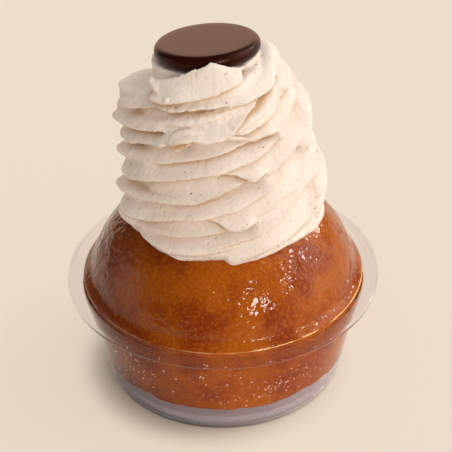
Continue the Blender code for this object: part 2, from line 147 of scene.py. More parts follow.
# %% Material helpers
class Finish:
    """A material with one Principled shader and short names for the nodes that feed it."""

    def __init__(self, name):
        self.material = bpy.data.materials.new(name)
        self.material.use_nodes = True
        self.nodes = self.material.node_tree.nodes
        self.links = self.material.node_tree.links
        self.shader = self.nodes["Principled BSDF"]
        self.output = self.nodes["Material Output"]
        self.place = self.nodes.new("ShaderNodeTexCoord").outputs["Object"]

    def give(self, socket, source):
        """Set a socket to a number or a colour, or link it to another socket."""
        if isinstance(source, bpy.types.NodeSocket):
            self.links.new(source, socket)
        elif isinstance(source, tuple) and len(source) == 3 and socket.type == "RGBA":
            socket.default_value = (*source, 1.0)
        else:
            socket.default_value = source

    def set(self, **values):
        """Set the Principled shader's sockets: base_color=... sets Base Color, and so on."""
        for name, value in values.items():
            self.give(self.shader.inputs[name.replace("_", " ").title().replace("Ior", "IOR")], value)

    def stretched(self, x, y, z):
        mapping = self.nodes.new("ShaderNodeMapping")
        mapping.inputs["Scale"].default_value = (x, y, z)
        self.give(mapping.inputs["Vector"], self.place)
        return mapping.outputs["Vector"]

    def noise(self, grain_mm, detail=3.0, rough=0.5, warp=0.0, place=None):
        """Soft random patches about grain_mm across."""
        node = self.nodes.new("ShaderNodeTexNoise")
        self.give(node.inputs["Vector"], place or self.place)
        node.inputs["Scale"].default_value = 1.0 / (grain_mm * MM)
        node.inputs["Detail"].default_value = detail
        node.inputs["Roughness"].default_value = rough
        node.inputs["Distortion"].default_value = warp
        return node.outputs["Fac"]

    def cells(self, grain_mm, place=None, feature="F1", randomness=1.0):
        """Distance to scattered points about grain_mm apart."""
        node = self.nodes.new("ShaderNodeTexVoronoi")
        node.feature = feature
        self.give(node.inputs["Vector"], place or self.place)
        node.inputs["Scale"].default_value = 1.0 / (grain_mm * MM)
        node.inputs["Randomness"].default_value = randomness
        return node.outputs["Distance"]

    def range(self, value, low, high, to_low=0.0, to_high=1.0):
        """Stretch one part of a value's range over another."""
        node = self.nodes.new("ShaderNodeMapRange")
        node.interpolation_type = "SMOOTHSTEP"
        for name, source in (("Value", value), ("From Min", low), ("From Max", high),
                             ("To Min", to_low), ("To Max", to_high)):
            self.give(node.inputs[name], source)
        return node.outputs["Result"]

    def math(self, operation, first, second=0.0):
        node = self.nodes.new("ShaderNodeMath")
        node.operation = operation
        self.give(node.inputs[0], first)
        self.give(node.inputs[1], second)
        return node.outputs["Value"]

    def blend(self, share, first, second, kind="MIX"):
        """Mix two colours."""
        node = self.nodes.new("ShaderNodeMix")
        node.data_type, node.blend_type = "RGBA", kind
        factor, one, two = (s for s in node.inputs if s.enabled and s.name in ("Factor", "A", "B"))
        self.give(factor, share)
        self.give(one, first)
        self.give(two, second)
        return next(s for s in node.outputs if s.enabled)

    def height(self, axis="Z"):
        node = self.nodes.new("ShaderNodeSeparateXYZ")
        self.give(node.inputs["Vector"], self.place)
        return node.outputs[axis]

    def far_from(self, x, y):
        """Distance from an upright line at (x, y)."""
        flat = self.nodes.new("ShaderNodeMapping")
        flat.inputs["Location"].default_value = (-x, -y, 0.0)
        flat.inputs["Scale"].default_value = (1.0, 1.0, 0.0)
        self.give(flat.inputs["Vector"], self.place)
        length = self.nodes.new("ShaderNodeVectorMath")
        length.operation = "LENGTH"
        self.give(length.inputs[0], flat.outputs["Vector"])
        return length.outputs["Value"]

    def attribute(self, name):
        node = self.nodes.new("ShaderNodeAttribute")
        node.attribute_name = name
        return node.outputs["Fac"]

    def bump(self, relief, depth_mm, below=None):
        """Turn a relief value into a bent normal. A second bump can lie on a first one."""
        node = self.nodes.new("ShaderNodeBump")
        node.inputs["Distance"].default_value = depth_mm * MM
        self.give(node.inputs["Height"], relief)
        if below:
            self.give(node.inputs["Normal"], below)
        return node.outputs["Normal"]


# %% [markdown]
# ## The swirl of cream
# A star nozzle squeezes out a rope with seven ridges. The hand lays that rope in a rising spiral
# and never turns the nozzle, so the ridges roll once round the rope in each turn and look like
# long petals. The same thing can be done here: a flat grid is rolled into a tube with seven ridges
# along a rising path. The lists below hold what a hand does unevenly, quarter turn by quarter turn.

# %% The path of the rope
CREAM_TURNS = (-0.26, 5.17)
QUARTER_LEVELS = (50.6, 52.6, 55.5, 60.4, 66.0, 65.2, 64.9, 70.9, 75.7, 76.8, 78.0, 83.7,
                  86.6, 87.4, 89.1, 92.6, 96.4, 97.6, 98.8, 98.9, 101.4, 104.6)
QUARTER_REACH = (0.0, 0.0, 0.2, -0.8, 0.5, 0.2, -0.2, -0.1, -2.0, -1.2, -1.2, 0.1,
                 -0.5, -0.3, 0.4, 1.2, -1.2, -0.6, 2.2, 0.0, -4.2, -5.0)
CREAM_LEVEL, CREAM_RISE = 55.0, 55.0
CREAM_RADIUS = 31.3
CREAM_LEAN, CREAM_LEAN_BACK = (0.5, -4.7), 1.2
ROPE_HALF_WIDTH, ROPE_HALF_HEIGHT = 10.6, 8.4
ROPE_TAPER_TURN, ROPE_END_SHARE, ROPE_START_SHARE = 3.6, 0.5, 0.35
START_RISE, START_INWARDS = 12.0, 6.0
FOOT_EDGE = ((0.0, 30.4), (0.40, 31.0), (0.478, 31.6), (0.535, 28.3), (0.58, 26.2), (0.60, 27.0),
             (0.67, 28.5), (0.72, 26.9), (0.750, 26.4), (0.760, 28.6), (0.793, 27.8), (0.827, 27.2),
             (0.863, 26.6), (0.913, 28.2), (0.937, 28.8), (0.964, 29.3), (1.0, 30.4))
FOOT_LEVEL, FOOT_FREE_LEVEL = 54.3, 58.0
FIRST_LEAF, THIRD_LEAF, LAST_LEAF = 0.53, 3.5, 4.48
DISC_TILT_BACK, DISC_TILT_SIDE = 8.0, 3.6


def near(turn, middle, spread):
    """1 at one place along the rope, fading to 0 on both sides of it."""
    return math.exp(-((turn - middle) / spread) ** 2)


def step_value(values, turn, steps_a_turn=4.0):
    """A smooth line through values that are given once a quarter turn."""
    place = min(max(steps_a_turn * turn, 0.0), len(values) - 1.001)
    step = int(place)
    t = place - step
    before, here = values[max(step - 1, 0)], values[step]
    after, last = values[step + 1], values[min(step + 2, len(values) - 1)]
    bend = (after - before + t * (2 * before - 5 * here + 4 * after - last
                                  + t * (3 * (here - after) + last - before)))
    return here + 0.5 * t * bend


def foot_reach(turn, level):
    """How far out the lowest petals may stand, where they end on the bun."""
    place = turn % 1.0
    for (start, near_reach), (end, far_reach) in zip(FOOT_EDGE, FOOT_EDGE[1:]):
        if start <= place <= end:
            reach = near_reach + (far_reach - near_reach) * (place - start) / (end - start)
    spread = 0.8 * min(max(level - FOOT_LEVEL, 0.0), FOOT_FREE_LEVEL - FOOT_LEVEL)
    return reach + spread + 3.0 * max(level - FOOT_FREE_LEVEL, 0.0)


def climb_share(level):
    """0 at the foot of the swirl, 1 where it would close."""
    return min(max((level - CREAM_LEVEL) / CREAM_RISE, 0.0), 0.985)


def swirl_reach(level):
    return CREAM_RADIUS * (1 - climb_share(level) ** 3.4) ** 0.42


def swirl_middle(level):
    share = climb_share(level)
    return Vector((CREAM_LEAN[0] + CREAM_LEAN[1] * share ** 1.5, CREAM_LEAN_BACK * share ** 2, 0))


def rope_level(turn):
    return step_value(QUARTER_LEVELS, turn) + START_RISE * max(-turn, 0.0)


def rope_size(turn):
    start, end = CREAM_TURNS
    late = max(turn - ROPE_TAPER_TURN, 0.0) / (end - ROPE_TAPER_TURN)
    early = min((turn - start) / 0.4, 1.0)
    return (1 - (1 - ROPE_END_SHARE) * late ** 2) * (1 - (1 - ROPE_START_SHARE) * (1 - early) ** 2)


print("the rope climbs from", rope_level(0.0), "to", round(rope_level(5.0), 1), "mm")

# %% [markdown]
# ## The ridges
# In a cut across the rope, each ridge is a low tooth: a broad side that faces down, a narrower
# side that faces up, a softly rounded crest and a sharp crease. The crest's angle grows by 360
# degrees a turn, with a sway from the wrist.

# %% The rope's section
RIDGES = 7
RIDGE_DEPTH = 0.31
CREST_ROUNDING = 0.09
GROOVE_PLACE = 0.56
LOWER_SIDE_LEFT, LOWER_SIDE_FRONT = 0.56, 0.36
CREST_START = -34.1
CREST_SWAY = (-17.0, -18.2, 14.3, 7.1)
HALF_TURN_ROLL = (3.0, 3.5, 0.7, 8.1, 8.9, 3.4, 1.8, 3.8, -4.0, 12.0, -26.0, -33.0)
CREST_FLATNESS = 1.45
TUCK, TUCK_PLACE = 0.15, -1.50
LEAF_NOTCH = (4.36, 0.07, 8.0)
TOP_RIGHT = (5.07, 0.10)


def crest_angle(turn):
    """Angle of one crest in the rope's section, in degrees. Level outwards is 0, up is 90."""
    around = 2 * math.pi * turn
    sway = (CREST_SWAY[0] * math.cos(around) + CREST_SWAY[1] * math.sin(around)
            + CREST_SWAY[2] * math.cos(2 * around) + CREST_SWAY[3] * math.sin(2 * around))
    return CREST_START + 360.0 * (turn - 1.5) + sway + step_value(HALF_TURN_ROLL, turn, 2.0)


def ridge_height(spacings, lower_side):
    """1 on a crest and 0 in a crease, from the distance to a crest in ridge spacings."""
    above = (spacings + GROOVE_PLACE) % 1.0
    if above < lower_side:
        depth = 1.0 - above / lower_side
    else:
        depth = (above - lower_side) / (1.0 - lower_side)
    soft = math.hypot(depth, CREST_ROUNDING) - CREST_ROUNDING
    return 1.0 - (soft / (math.hypot(1.0, CREST_ROUNDING) - CREST_ROUNDING)) ** CREST_FLATNESS


def squeeze(turn, upper):
    """How pointed the section is: 1 is round, more pulls it in above or below its middle."""
    around = 2 * math.pi * turn
    third, last = near(turn, THIRD_LEAF, 0.18), near(turn, LAST_LEAF, 0.13)
    flat = near(turn, LAST_LEAF, 0.3) if turn < LAST_LEAF else last
    if upper:
        high = max(0.94 + 0.35 * math.cos(around - 2.95), 0.7) - 0.6 * near(turn % 1.0, 0.63, 0.09)
        return high + 0.9 * third + 2.4 * flat
    low = min(max(0.92 + 1.73 * math.cos(around - 0.5 * math.pi), 0.45), 2.6)
    return low + 3.0 * near(turn, FIRST_LEAF, 0.07) + 0.7 * third + 0.3 * last


def sag(turn):
    """How much longer the section hangs where the turn below lies far under it."""
    if turn < 1.0:
        return 1.0
    gap = rope_level(turn) - rope_level(turn - 1.0)
    return 0.96 + 0.5 * min(max((gap - 11.0) / ROPE_HALF_HEIGHT, -0.5), 0.6)


def rope_point(turn, angle):
    """A point on the ridged rope: turn counts along it, and angle goes round its section."""
    around = 2 * math.pi * turn
    place_in_turn = turn % 1.0
    outward = Vector((math.cos(around), math.sin(around), 0))
    level = rope_level(turn)
    size = rope_size(turn)
    half_width, half_height = ROPE_HALF_WIDTH * size, ROPE_HALF_HEIGHT * size
    upper = math.sin(angle) > 0
    last = near(turn, LAST_LEAF, 0.13)
    flat = near(turn, LAST_LEAF, 0.3) if turn < LAST_LEAF else last
    reach = max(swirl_reach(level) - half_width, 0.0) + step_value(QUARTER_REACH, turn)
    reach -= START_INWARDS * max(-turn, 0.0) + LEAF_NOTCH[2] * near(turn, *LEAF_NOTCH[:2])
    half_height *= 1 - 0.8 * flat if upper else sag(turn) * (1 - 0.15 * last)
    reach += 4.5 * near(turn, *TOP_RIGHT) + 0.4 * noise.noise(Vector((turn * 2.3, 3.1, 0.0)))
    level += 1.2 * near(turn, *TOP_RIGHT)
    level += 0.3 * noise.noise(Vector((turn * 2.9, 9.4, 5.0)))
    spacings = RIDGES * (math.degrees(angle) - crest_angle(turn)) / 360.0
    ridge = round(spacings) % RIDGES
    left = max(math.cos(around - 2 * math.pi * 0.47), 0.0) ** 1.5
    leafy = 0.5 + 0.6 * left
    lower_side = LOWER_SIDE_FRONT + (LOWER_SIDE_LEFT - LOWER_SIDE_FRONT) * left
    depth = RIDGE_DEPTH * leafy * (1 + 0.3 * noise.noise(Vector((ridge * 7.3, turn * 1.1, 2.0))))
    full = 1 - depth * (1 - ridge_height(spacings, lower_side))
    full += 0.012 * noise.noise(Vector((ridge * 5.1, turn * 9.0, 7.0)))
    if not upper:
        full += 0.9 * last * (1 - full) * min(-4 * math.sin(angle), 1.0)
    above = (spacings + 0.5 * RIDGES) % RIDGES - 0.5 * RIDGES
    full += 0.9 * max(flat, near(turn, THIRD_LEAF, 0.12)) * (1 - full) * min(max(4 * (above - 0.2), 0.0), 1.0)
    tucked = min(max((TUCK_PLACE - above) / 0.35, 0.0), 1.0) * (turn > 1.0)
    tucked *= min(max((place_in_turn - 0.30) / 0.1, 0.0), 1.0)
    full *= 1 - TUCK * tucked * min(max((0.76 - place_in_turn) / 0.09, 0.0), 1.0)
    outwards = math.cos(angle)
    if outwards > 0:
        outwards **= squeeze(turn, upper)
    radius = reach + half_width * full * outwards
    height = level + half_height * full * math.sin(angle)
    if height < FOOT_FREE_LEVEL + 3.0:
        radius = min(radius, foot_reach(turn, height))
    place = swirl_middle(level) + outward * radius
    place.z = height
    share = climb_share(level)
    place.z += share * (place.x * math.tan(math.radians(DISC_TILT_SIDE))
                        - place.y * math.tan(math.radians(DISC_TILT_BACK)))
    return place * MM


print("one crest on the left of each turn, in degrees:",
      [round((crest_angle(turn + 0.5) + 180) % 360 - 180) for turn in range(5)])

# %% [markdown]
# ## Rolling the rope and fusing its turns
# bmesh.ops.create_grid gives a flat sheet. Each of its points is moved to its place on the rope,
# the long seam is merged and the two ends are closed. Cream is soft and its turns melt together:
# a Remesh modifier in Voxel mode does that, and a core fills the middle of the spiral.

# %% Shapes of the rope and the core
BUN_WIDEST, BUN_DOME = 29.2, 32.7
DISC_UNDER = Vector((-2.8, -0.9, 107.65))


def rope_shape(steps_per_turn, steps_round):
    start, end = CREAM_TURNS
    shape = bmesh.new()
    bmesh.ops.create_grid(shape, x_segments=int((end - start) * steps_per_turn),
                          y_segments=steps_round, size=0.5)
    for vertex in shape.verts:
        turn = start + (end - start) * (vertex.co.x + 0.5)
        vertex.co = rope_point(turn, 2 * math.pi * (vertex.co.y + 0.5))
    bmesh.ops.remove_doubles(shape, verts=shape.verts, dist=0.000001)
    open_ends = [edge for edge in shape.edges if edge.is_boundary]
    bmesh.ops.holes_fill(shape, edges=open_ends, sides=0)
    bmesh.ops.recalc_face_normals(shape, faces=shape.faces)
    return shape


def core_shape(steps=64, rings=20):
    low = BUN_WIDEST + BUN_DOME - 12.0
    high = DISC_UNDER.z - 0.5
    profile = [(0.0, low)]
    for ring in range(rings + 1):
        level = low + (high - low) * ring / rings
        top = 15.0 * min(max((level - 96.0) / 5.0, 0.0), 1.0)
        profile.append((max(swirl_reach(level) - 0.9 * ROPE_HALF_WIDTH, top), level))
    profile.append((0.0, high))
    shape = turned(profile, steps)
    for vertex in shape.verts:
        place = vertex.co / MM
        share = climb_share(place.z)
        place += swirl_middle(place.z)
        place.z += share * (place.x * math.tan(math.radians(DISC_TILT_SIDE))
                            - place.y * math.tan(math.radians(DISC_TILT_BACK)))
        vertex.co = place * MM
    return shape


FLAP_EDGE = ((-19.0, -11.9, 107.9), (-17.9, -12.4, 107.4), (-17.1, -13.9, 107.8),
             (-12.7, -16.0, 109.3), (-8.1, -17.2, 111.6), (-4.4, -17.6, 113.3),
             (-1.2, -17.3, 114.2), (2.8, -16.6, 112.4), (6.0, -14.9, 111.4))
FLAP_FOOT = ((-18.8, -13.7, 106.0), (-16.9, -17.0, 105.4), (-14.4, -18.5, 104.0),
             (-11.3, -20.6, 105.0), (-6.7, -20.7, 105.6), (-1.8, -20.4, 106.5),
             (2.5, -19.2, 108.5), (5.6, -17.4, 110.0), (6.4, -15.8, 111.0))
FLAP_THICKNESS = 3.0


def smooth_line(points, share):
    """A point on the smooth line through a few points, from share 0 to share 1."""
    place = min(max(share, 0.0), 1.0) * (len(points) - 1)
    step = min(int(place), len(points) - 2)
    t = place - step
    before, here = Vector(points[max(step - 1, 0)]), Vector(points[step])
    after, last = Vector(points[step + 1]), Vector(points[min(step + 2, len(points) - 1)])
    bend = (after - before + t * (2 * before - 5 * here + 4 * after - last
                                  + t * (3 * (here - after) + last - before)))
    return here + 0.5 * t * bend


def flap_shape(steps=80, steps_round=40):
    """A petal that leans on the front of the disc: thick at its foot and thin at its edge."""
    shape = bmesh.new()
    bmesh.ops.create_grid(shape, x_segments=steps, y_segments=steps_round, size=0.5)
    for vertex in shape.verts:
        share = vertex.co.x + 0.5
        angle = 2 * math.pi * (vertex.co.y + 0.5)
        edge, foot = smooth_line(FLAP_EDGE, share), smooth_line(FLAP_FOOT, share)
        low = foot + (foot - edge) * 0.35
        inward = swirl_middle(105.0) + Vector((0, 0, 100.0)) - foot
        inward = (inward - (edge - foot) * inward.dot(edge - foot) / (edge - foot).length_squared)
        inward.normalize()
        rise = 0.5 - 0.5 * math.cos(angle)
        thick = FLAP_THICKNESS * (1 - rise) ** 0.8 + 0.7
        bulge = math.sin(angle)
        place = low + (edge - low) * rise + inward * thick * 0.5 * (1 - bulge)
        place -= inward * 0.5 * math.sin(math.pi * rise) * max(bulge, 0.0)
        vertex.co = place * MM
    bmesh.ops.remove_doubles(shape, verts=shape.verts, dist=0.000001)
    open_ends = [edge for edge in shape.edges if edge.is_boundary]
    bmesh.ops.holes_fill(shape, edges=open_ends, sides=0)
    bmesh.ops.recalc_face_normals(shape, faces=shape.faces)
    return shape


CREAM_GRAIN = 0.475


def pile_cream():
    """Fuse the rope and its core into one closed body."""
    shape = rope_shape(110, 154)
    core = make_piece("core", core_shape())
    flap = make_piece("flap", flap_shape())
    for extra in (core, flap):
        shape.from_mesh(extra.data)
        bpy.data.objects.remove(extra)
    cream = make_piece("cream", shape)
    fuse = cream.modifiers.new("fuse", "REMESH")
    fuse.mode = "VOXEL"
    fuse.voxel_size = CREAM_GRAIN * MM
    fuse.use_smooth_shade = True
    soften = cream.modifiers.new("soften", "SMOOTH")
    soften.factor, soften.iterations = 0.5, 2
    return keep_modifiers(cream)


# %% [markdown]
# ## The bun
# A baba is a tall yeast bun, baked dark and soaked in syrup. One outline is spun round the axis,
# up the inside of the cup's wall and over the dome. Then small moves of the points give it slow
# dips, pores, and on its left the fine wrinkles of wet crust.

# %% The bun's shape
CUP_FOOT_RADIUS, CUP_MOUTH_RADIUS = 36.5, 42.15
CUP_WALL = 0.45
CUP_RIM_HEIGHT, RIM_RADIUS = 33.2, 47.5
CUP_FLOOR = 5.9
BUN_RADIUS = 41.0
BUN_DOME_SIDE, BUN_DOME_TOP = 2.58, 1.94
BUN_FOOT_RADIUS = 33.2
BUN_SHIFT, BUN_UNEVEN = 0.3, 0.35
BUN_IN_WALL = 0.12


def wall_radius(height):
    """Inside radius of the fine cup's leaning wall."""
    mouth = CUP_MOUTH_RADIUS + 0.6 - CUP_WALL
    foot = CUP_FOOT_RADIUS - CUP_WALL
    return foot + (mouth - foot) * height / (CUP_RIM_HEIGHT - 1.0)


def bun_outline(side_rings, dome_rings):
    bottom = CUP_FLOOR + 0.3
    outline = [(0.0, bottom)]
    outline += [(BUN_FOOT_RADIUS * ring / 8, bottom) for ring in range(1, 9)]
    outline += [(BUN_FOOT_RADIUS + 1.3, bottom + 0.3), (BUN_FOOT_RADIUS + 2.4, bottom + 1.1)]
    low, high = bottom + 2.4, BUN_WIDEST - 3.6
    for ring in range(side_rings):
        height = low + (high - low) * ring / (side_rings - 1)
        outline.append((wall_radius(height) + BUN_IN_WALL, height))
    for ring in range(dome_rings + 1):
        angle = 0.5 * math.pi * ring / dome_rings
        radius = BUN_RADIUS * max(math.cos(angle), 0.0) ** (2 / BUN_DOME_SIDE)
        height = BUN_WIDEST + BUN_DOME * math.sin(angle) ** (2 / BUN_DOME_TOP)
        pressed = min(max((CUP_RIM_HEIGHT + 3.2 - height) / 3.4, 0.0), 1.0)
        pressed = pressed * pressed * (3 - 2 * pressed)
        radius += pressed * max(wall_radius(height) + BUN_IN_WALL - radius, 0.0)
        outline.append((radius, height))
    return outline


def ridged(place):
    """Sharp little folds: 1 on a fold and falling to 0 on both sides."""
    return 1 - min(abs(noise.noise(place)) * 3.2, 1.0)


def crust_relief(place):
    """How far the crust stands in or out at a place on the dome, in millimetres."""
    relief = 0.22 * noise.noise(place * 0.16) + 0.10 * noise.noise(place * 0.42)
    relief -= 0.30 * max(noise.noise(place * 0.55 + Vector((9, 0, 4))) - 0.32, 0.0) / 0.4
    left = min(max((-place.x - 6.0) / 22.0, 0.0), 1.0)
    stretched = Vector((place.x * 0.55, place.y * 0.55, place.z * 0.28))
    relief += left * 0.13 * (ridged(stretched) - 0.5)
    relief += 0.035 * ridged(place * 0.9 + Vector((3, 7, 1)))
    return relief


def bun_shape(side_rings, dome_rings, steps, swell=0.0):
    shape = turned(bun_outline(side_rings, dome_rings), steps)
    for vertex in shape.verts:
        place = vertex.co / MM
        rise = min(max((place.z - CUP_RIM_HEIGHT - 0.5) / 12.0, 0.0), 1.0)
        crown = Vector((place.x, place.y, (place.z - BUN_WIDEST) * 1.2)).normalized()
        dip = 0.5 + 0.5 * noise.noise(place * 0.07)
        fine = crust_relief(place) * min(max((place.z - CUP_RIM_HEIGHT) / 4.0, 0.0), 1.0)
        vertex.co = (place + crown * (fine + swell - BUN_UNEVEN * dip * rise)) * MM
        vertex.co.x += BUN_SHIFT * rise * MM
        hem = min(max(1.0 - (place.z - CUP_FLOOR) / 6.0, 0.0), 1.0) * (place.xy.length > 30.0)
        around = Vector((place.x, place.y, 0.0)).normalized()
        ragged = max(noise.noise(around * 3.1) + 0.5 * noise.noise(around * 11.0) + 0.1, 0.0)
        vertex.co.z += 2.2 * hem * ragged * MM
    return shape


bun = make_piece("bun", bun_shape(36, 100, 320))
print("bun:", triangles(bun), "triangles")

# %% [markdown]
# ## The chocolate disc
# The disc was cast in a mould: flat face, flat underside and a rim that is round in section. Its
# outline is spun at the origin, then tilted back and a little to one side, onto the cream.

# %% The disc
DISC_RADIUS, DISC_THICKNESS, DISC_FACE_RADIUS = 15.0, 4.4, 12.9


def disc_outline(clearance=0.0):
    half = DISC_THICKNESS / 2
    bulge = DISC_RADIUS - DISC_FACE_RADIUS
    outline = [(0.0, -clearance)] + [(DISC_FACE_RADIUS * ring / 6, -clearance) for ring in range(1, 6)]
    for step in range(17):
        angle = math.radians(-90 + 180 * step / 16)
        around, up = math.cos(angle), math.sin(angle)
        outline.append((DISC_FACE_RADIUS + bulge * around ** 0.9 + clearance * around,
                        half + (half + clearance) * up))
    outline += [(DISC_FACE_RADIUS * ring / 6, DISC_THICKNESS + clearance) for ring in range(5, 0, -1)]
    return outline + [(0.0, DISC_THICKNESS + clearance)]


def lay_on_top(shape):
    """Tilt a shape made at the origin and carry it to the top of the swirl."""
    tilt = Euler((math.radians(-DISC_TILT_BACK), math.radians(-DISC_TILT_SIDE), 0)).to_matrix()
    place = Matrix.Translation(DISC_UNDER * MM) @ tilt.to_4x4()
    bmesh.ops.transform(shape, matrix=place, verts=shape.verts)
    return shape


disc = make_piece("disc", lay_on_top(turned(disc_outline(), 144)))
print("disc:", triangles(disc), "triangles")

# %% [markdown]
# ## Marks of the nozzle
# Cream tears a little as it leaves the nozzle, so its skin has drag marks, small pits and, at the
# front of the top turn, a torn patch. Noise from mathutils moves each point along its own normal.
# Real moves are better than bump here, because the marks also break up the petals' outlines.

# %% Drag marks
def drag_marks(cream):
    """Rough up the swirl: pits and the fine marks that a nozzle leaves."""
    shape = bmesh.new()
    shape.from_mesh(cream.data)
    shape.normal_update()
    moves = []
    for vertex in shape.verts:
        place = vertex.co / MM
        middle = swirl_middle(place.z)
        around = math.atan2(place.y - middle.y, place.x - middle.x)
        across = Vector((around * 40.0, place.z * 0.25, 0.0))
        move = 0.09 * noise.noise(across) + 0.06 * noise.noise(place * 0.9)
        move += 0.10 * noise.noise(place * 0.35)
        move -= 0.26 * max(noise.noise(place * 1.2) - 0.34, 0.0) / 0.4
        rough = near(around % (2 * math.pi), 4.62, 0.42) * near(place.z, 100.5, 3.2)
        pulled = Vector((place.x * 0.6, place.y * 0.6, place.z * 0.35 + 0.2 * place.x))
        move += rough * (0.5 * noise.noise(pulled) + 0.25 * noise.noise(pulled * 2.1))
        moves.append(vertex.normal * move * MM)
    for vertex, move in zip(shape.verts, moves):
        vertex.co += move
    shape.to_mesh(cream.data)
    shape.free()


# %% [markdown]
# ## Where the creases run
# The petals of a hand-piped swirl end where the hand slowed or turned, so no formula gives their
# edges. They are written down instead, as a seamstress marks a cloth: each crease is a line of
# (degrees round the swirl, height in mm), with its depth at its first and at its last point.

# %% The lines of the creases
CREASES = (
    (1.6, 0.8, ((206, 63.2), (225, 65.2), (244, 68.4), (258, 69.6), (267, 68.6), (273, 66.9), (281, 66.7))),
    (0.5, 2.0, ((222, 60.6), (251, 63.4), (261, 64.7), (274, 66.0), (281, 66.7), (285, 67.2))),
    (0.6, 1.9, ((264, 59.9), (275, 61.5), (286, 62.6), (298, 65.1), (310, 67.7), (320, 70.3), (335, 72.6))),
    (0.5, 1.4, ((252, 69.2), (263, 70.1), (280, 71.9), (296, 75.1), (304, 76.8), (313, 79.5), (329, 82.2))),
    (0.5, 1.8, ((292, 69.2), (300, 70.5), (308, 72.4), (315, 72.9), (323, 74.9), (334, 80.4), (340, 82.5))),
    (1.8, 0.9, ((211, 76.2), (224, 78.0), (236, 79.4), (254, 81.5), (267, 82.7), (281, 81.7), (290, 80.0))),
    (0.7, 2.4, ((216, 70.1), (233, 72.5), (257, 74.3), (266, 76.1), (278, 78.4), (290, 80.0), (294, 80.6))),
    (0.6, 1.8, ((267, 82.7), (275, 83.3), (293, 84.9), (305, 86.7), (314, 88.5), (325, 91.2), (344, 93.8))),
    (0.5, 1.9, ((303, 79.5), (309, 81.7), (320, 83.7), (330, 84.4))),
    (0.5, 1.9, ((319, 84.2), (328, 85.8), (337, 87.9), (347, 92.8))),
    (0.5, 2.0, ((319, 58.4), (327, 61.8), (333, 67.2), (338, 72.0))),
    (1.8, 0.6, ((211, 87.2), (227, 89.3), (243, 90.6), (266, 92.1), (280, 92.5), (291, 91.7))),
    (0.8, 2.0, ((230, 83.7), (245, 85.3), (255, 86.3), (275, 88.3), (285, 89.4), (302, 90.3), (308, 90.3))),
    (0.6, 2.0, ((286, 92.2), (294, 92.4), (304, 93.4), (314, 94.7), (324, 96.8), (334, 98.5))),
    (0.9, 1.5, ((281, 93.5), (287, 95.4), (293, 96.8), (303, 98.2), (315, 100.1), (328, 101.4))),
    (0.8, 1.5, ((198, 90.3), (214, 91.5), (226, 92.5), (235, 93.2))),
    (1.6, 0.6, ((201, 96.4), (221, 98.5), (232, 99.2), (245, 98.5), (263, 99.0), (276, 99.3), (298, 99.8))),
    (0.4, 1.3, ((292, 99.7), (304, 99.9), (316, 100.6), (335, 102.1))),
    (1.6, 1.0, ((215, 103.6), (233, 101.4), (242, 101.3), (257, 102.3), (275, 103.1), (291, 104.4), (317, 106.3))),
    (1.1, 1.8, ((332, 96.5), (337, 98.0), (345, 100.2), (354, 101.8))),
    (2.6, 0.8, ((247, 91.9), (253, 92.4), (260, 92.9))),
)
CREASE_FADE, CREASE_HOLLOW, CREASE_EDGE = 7.0, 2.8, 1.8
CREASE_DEPTH, CREASE_RAISE = 2.7, 0.42
FRONT_EVEN, FRONT_FROM, FRONT_TO = 0.75, (208.0, 232.0), (322.0, 350.0)
print(len(CREASES), "creases with", sum(len(line) for _, _, line in CREASES), "points")

# %% [markdown]
# ## Pressing the creases in
# A petal's edge stands out over its crease, and the skin below it falls back and then swells out
# again. The functions below work on all points at once with numpy, which is far quicker than a
# loop over a hundred thousand points. How deep a point lies is kept on the mesh as an attribute,
# so that the finish can paint shade into the creases as a darker warm tan.

# %% Crease functions

def ease(values, low, high):
    share = numpy.clip((values - low) / (high - low), 0.0, 1.0)
    return share * share * (3 - 2 * share)


def untilted(points):
    """Degrees round the swirl, height before the tilt, and distance from the leaning axis."""
    x, y, z = points.T / MM
    level = z.copy()
    for _ in range(3):
        share = numpy.clip((level - CREAM_LEVEL) / CREAM_RISE, 0.0, 0.985)
        level = z - share * (x * math.tan(math.radians(DISC_TILT_SIDE))
                             - y * math.tan(math.radians(DISC_TILT_BACK)))
    middle_x = CREAM_LEAN[0] + CREAM_LEAN[1] * share ** 1.5
    middle_y = CREAM_LEAN_BACK * share ** 2
    around = numpy.degrees(numpy.arctan2(y - middle_y, x - middle_x)) % 360
    return around, level, numpy.hypot(x - middle_x, y - middle_y), share


def crease_pattern(around, level, radius):
    """How far each point is pressed in or pushed out, and how deep it lies under a petal's edge, for painted shade.
    """
    move, painted_crease_shade = numpy.zeros(len(around)), numpy.zeros(len(around))
    for first, last, line in CREASES:
        places, heights = numpy.array(line).T
        slopes = numpy.gradient(numpy.interp(numpy.arange(360.0), places, heights))
        slope = slopes[numpy.clip(around.astype(int), 0, 359)]
        slope = slope / (numpy.maximum(radius, 8.0) * math.radians(1))
        above = (level - numpy.interp(around, places, heights)) / numpy.hypot(1.0, slope)
        along = numpy.clip((around - places[0]) / (places[-1] - places[0]), 0.0, 1.0)
        depth = first + (last - first) * along
        depth = depth * ease(around, places[0] - CREASE_FADE, places[0] + CREASE_FADE)
        depth = depth * (1 - ease(around, places[-1] - 0.3 * CREASE_FADE, places[-1] + CREASE_FADE))
        over = 1 / (1 + numpy.exp(-numpy.clip(above / 0.14, -30, 30)))
        below = numpy.abs(above)
        dent = (1 - over) * (0.7 * numpy.exp(-below / CREASE_HOLLOW) + 0.45 * numpy.exp(-below / 0.6))
        edge = over * numpy.exp(-(above / CREASE_EDGE) ** 2)
        move += CREASE_DEPTH * depth * (CREASE_RAISE * edge - dent)
        line_depth = depth * numpy.exp(-numpy.abs(above + 0.35) / 0.7)
        painted_crease_shade = numpy.maximum(painted_crease_shade, line_depth)
    return move, painted_crease_shade


def mesh_points(piece):
    flat = numpy.empty(len(piece.data.vertices) * 3)
    piece.data.vertices.foreach_get("co", flat)
    return flat.reshape(-1, 3)


